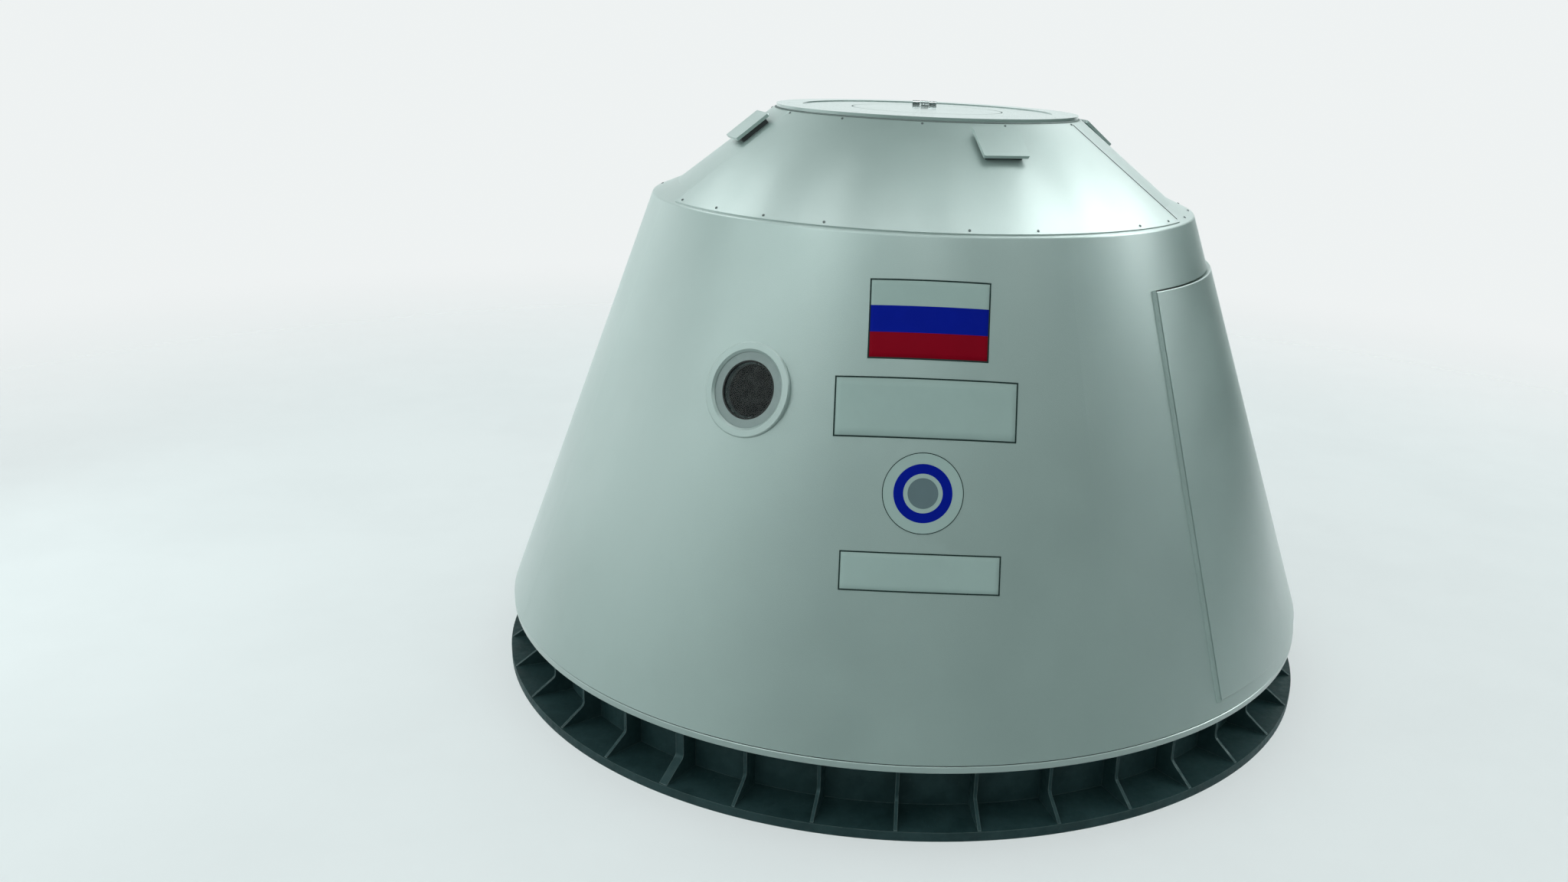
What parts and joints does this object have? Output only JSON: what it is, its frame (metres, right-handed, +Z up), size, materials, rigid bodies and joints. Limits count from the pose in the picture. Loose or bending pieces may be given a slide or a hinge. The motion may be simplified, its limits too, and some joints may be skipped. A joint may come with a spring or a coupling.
{
  "type": "crewed space capsule mock-up",
  "caption": "Full-size cone-shaped crew capsule mock-up with a hinged side door, round window, sloped roof with top hatch, on a ribbed steel base ring",
  "frame": {"origin": "on the floor, on the capsule's vertical axis", "axes": "+Z up along the capsule's axis; -Y is the side with the markings; the side door faces between +X and -Y"},
  "size_m": [4.46, 4.4596, 2.965],
  "materials": {
    "shell_paint": "semi-gloss white paint",
    "base_paint": "dark grey paint, worn at the edges",
    "deck": "matt grey floor paint",
    "frame_metal": "satin grey paint",
    "bare_metal": "brushed",
    "seal": "black seal",
    "pane": "clear pane over a dark cabin",
    "cover_block": "dark, shaded underside"
  },
  "bodies": {
    "capsule": {"base_plate": "base_paint", "base_drum": "base_paint", "base_ribs": "base_paint", "base_post_1": "base_paint", "base_post_2": "base_paint", "base_flange": "base_paint", "lip_ring": "shell_paint", "floor_deck": "deck", "front_wall_panel": "shell_paint", "door_wall_panel": "shell_paint", "rear_wall_panel": "shell_paint", "left_wall_panel": "shell_paint", "door_frame": "frame_metal", "porthole_frame": "frame_metal", "porthole_bezel": "shell_paint", "porthole_gasket": "seal", "outer_pane": "pane", "inner_pane": "pane", "shoulder_ring": "shell_paint", "top_ring": "shell_paint", "hatch_seat": "frame_metal", "hatch_hinge_bracket": "bare_metal", "door_hinge_bracket_1": "bare_metal", "door_hinge_bracket_2": "bare_metal", "roof_panel_1": "shell_paint", "roof_cover_1": "shell_paint", "roof_cover_block_1": "cover_block", "roof_panel_2": "shell_paint", "roof_cover_2": "shell_paint", "roof_cover_block_2": "cover_block", "roof_panel_3": "shell_paint", "roof_cover_3": "shell_paint", "roof_cover_block_3": "cover_block", "roof_panel_4": "shell_paint", "roof_cover_4": "shell_paint", "roof_cover_block_4": "cover_block"},
    "door": {"side_door": "shell_paint", "door_grab_bar": "bare_metal", "door_hinge_strap_1": "bare_metal", "door_hinge_strap_2": "bare_metal"},
    "hatch": {"hatch_lid": "shell_paint", "hatch_hinge_strap": "bare_metal"}
  },
  "joints": [
    {"name": "door_hinge", "type": "hinge", "parent": "capsule", "child": "door", "pos_m": [1.88234, 0.13163, 1.31793], "axis": [-0.3426, -0.024, 0.9392], "range_deg": [0, 105]},
    {"name": "hatch_hinge", "type": "hinge", "parent": "capsule", "child": "hatch", "pos_m": [0, 0.416, 2.957], "axis": [-1, 0, 0], "range_deg": [0, 110]}
  ]
}
